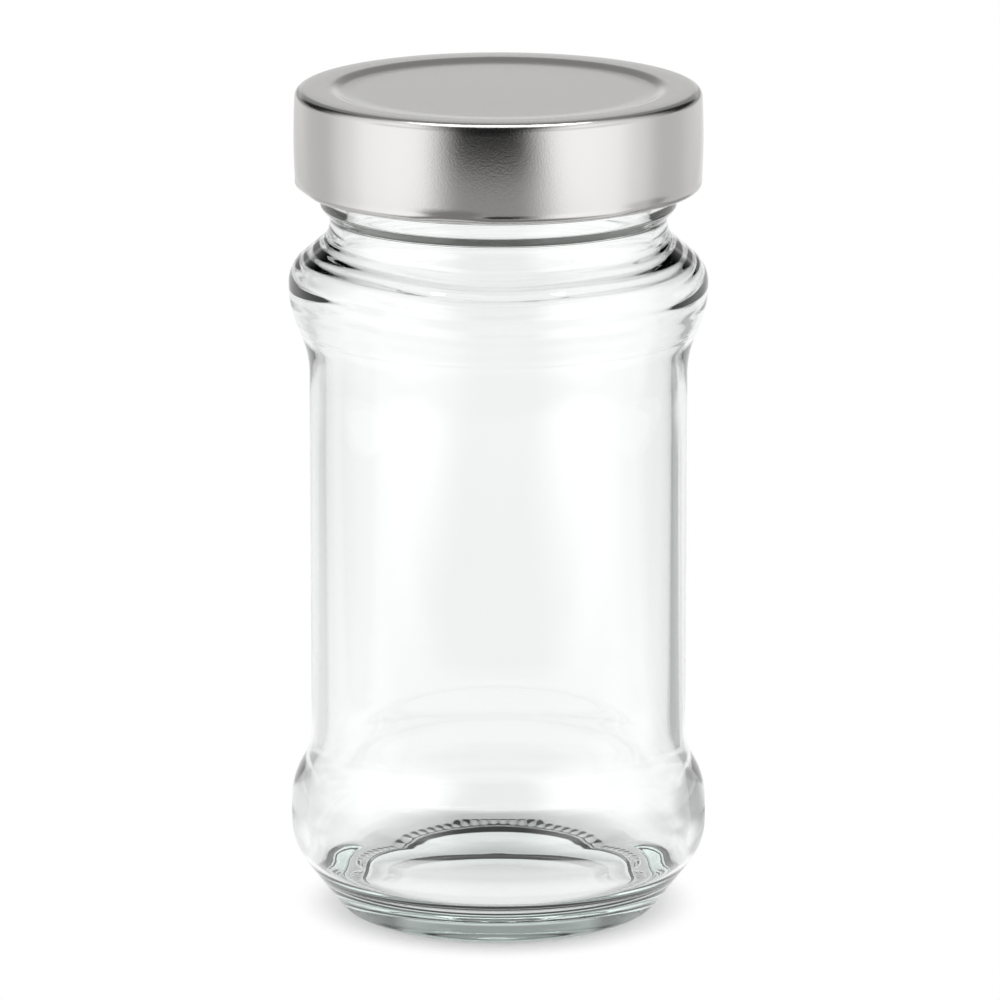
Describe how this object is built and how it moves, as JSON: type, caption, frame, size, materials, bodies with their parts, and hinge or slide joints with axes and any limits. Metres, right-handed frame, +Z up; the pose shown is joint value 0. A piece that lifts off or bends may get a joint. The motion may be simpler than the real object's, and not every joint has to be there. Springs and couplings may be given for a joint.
{
  "type": "glass food jar with twist-off lid",
  "caption": "Clear glass food jar with a recessed label panel, rounded shoulder and heel, closed by a deep silver tinplate twist-off lid that unscrews on a lug thread.",
  "frame": {"origin": "centre of the foot ring on the surface the jar stands on", "axes": "+Z up along the jar's axis, -Y toward the viewer of the picture, +X to the viewer's right"},
  "size_m": [0.0716, 0.0716, 0.1435],
  "materials": {
    "clear_glass": "clear flint glass with a faint green cast in thick sections",
    "silver_tinplate": "satin silver lacquer on pressed tinplate",
    "seal_compound": "matt off-white flowed-in sealing compound"
  },
  "bodies": {
    "jar": {"glass_jar": "clear_glass"},
    "seal": {"sealing_ring": "seal_compound"},
    "lid": {"lid_shell": "silver_tinplate"}
  },
  "joints": [
    {"name": "lid_rise", "type": "slide", "parent": "jar", "child": "seal", "axis": [0, 0, 1], "range_m": [0, 0.018]},
    {"name": "lid_turn", "type": "hinge", "parent": "seal", "child": "lid", "pos_m": [0, 0, 0.135], "axis": [0, 0, 1], "range_deg": [0, 360]}
  ],
  "couplings": [
    {"joint": "lid_rise", "follows": "lid_turn", "m_per_rad": 0.0028648}
  ]
}
